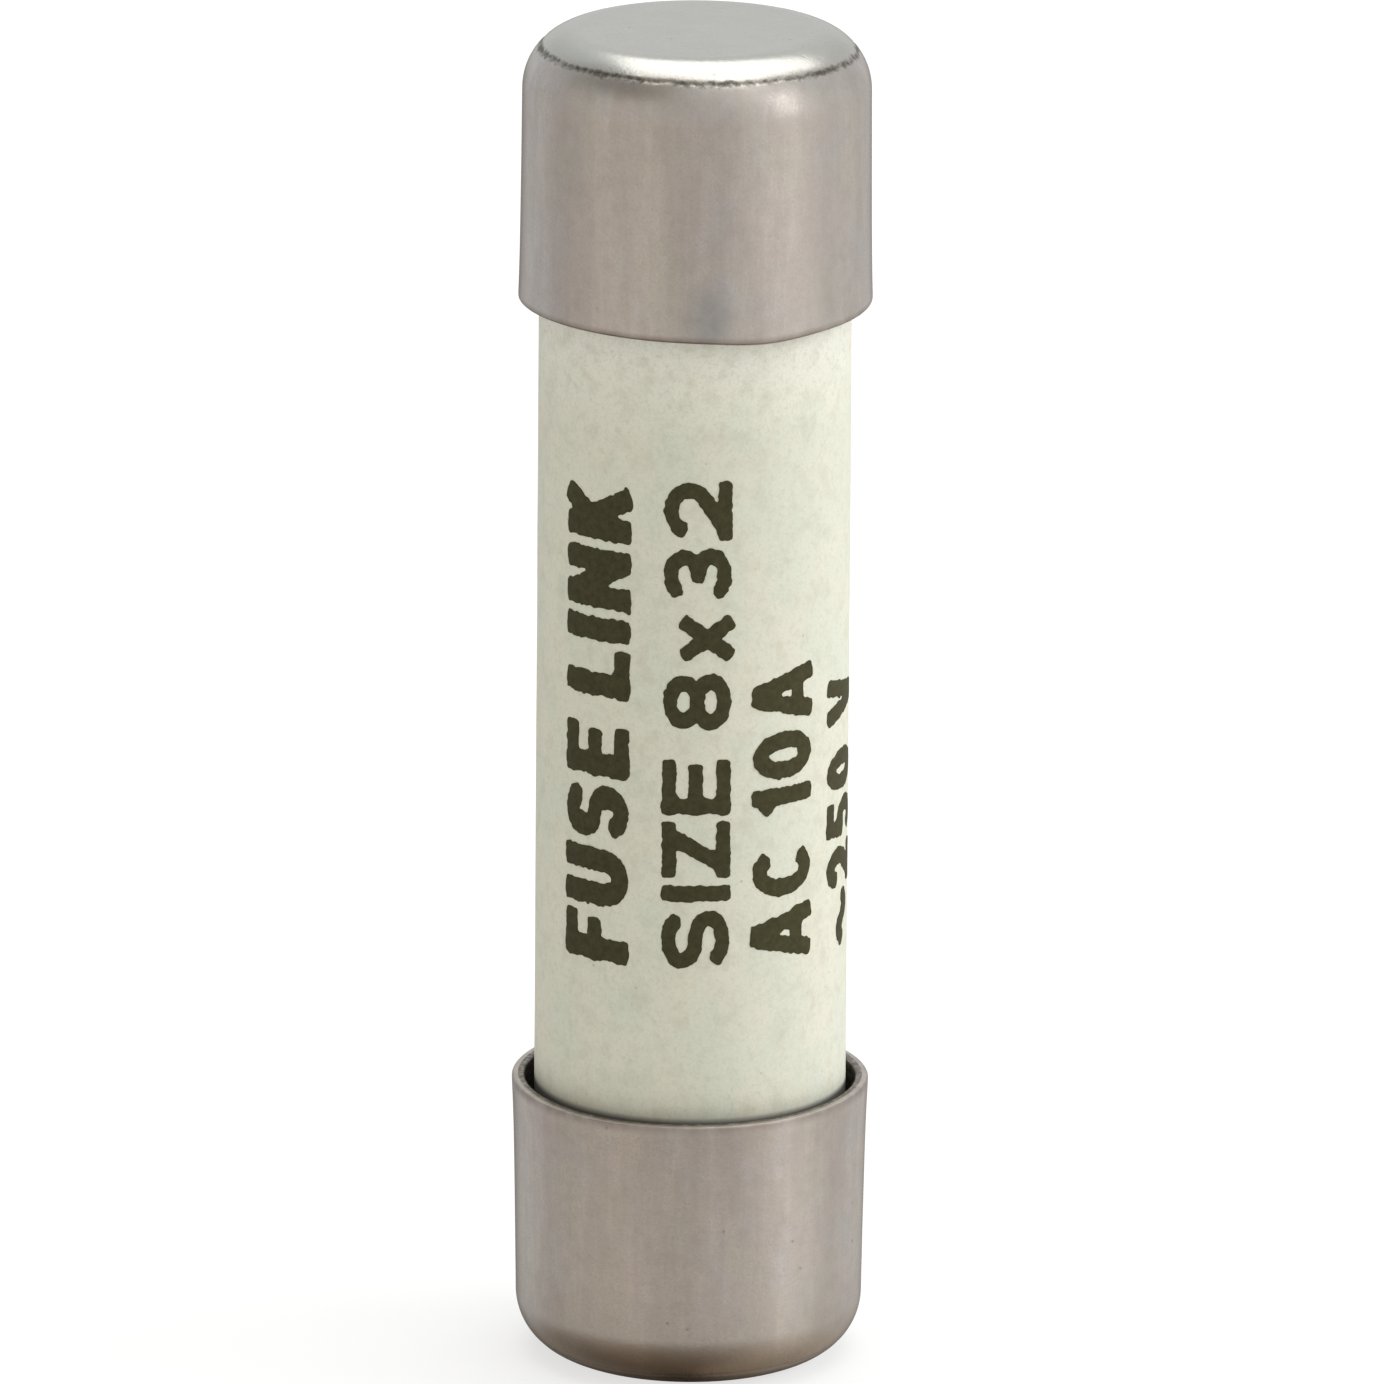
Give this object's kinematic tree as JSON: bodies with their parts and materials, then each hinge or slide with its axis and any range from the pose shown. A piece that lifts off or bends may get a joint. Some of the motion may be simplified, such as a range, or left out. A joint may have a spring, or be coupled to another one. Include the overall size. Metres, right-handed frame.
{
  "type": "cartridge fuse",
  "caption": "Cylindrical sand-filled fuse link with a ceramic tube and a plated metal contact cap on each end.",
  "frame": {"origin": "centre of the lower contact cap's end face, on the axis of the fuse", "axes": "+Z along the axis from the lower to the upper contact cap; X and Y across the fuse, -Y is the side that carries the marking"},
  "size_m": [0.0084, 0.0084, 0.032],
  "materials": {
    "steatite": "unglazed off-white steatite, fine speckle, matt to slightly silky",
    "nickel_plate": "drawn brass with a satin nickel plating",
    "bare_brass": "drawn brass, bare and slightly dull",
    "solder": "soft tin solder, satin and slightly grained",
    "fibre": "pressed vulcanised fibre, matt reddish brown",
    "silver": "drawn silver wire, bright",
    "quartz": "packed grains of pale quartz sand"
  },
  "bodies": {
    "root": {"ceramic_tube": "steatite", "upper_contact_cap": "nickel_plate", "lower_contact_cap": "nickel_plate", "upper_inner_cap": "bare_brass", "lower_inner_cap": "bare_brass", "upper_solder_joint": "solder", "lower_solder_joint": "solder", "upper_sealing_disc": "fibre", "lower_sealing_disc": "fibre", "fuse_wire": "silver", "overload_bead": "solder", "quartz_sand": "quartz"}
  },
  "joints": []
}
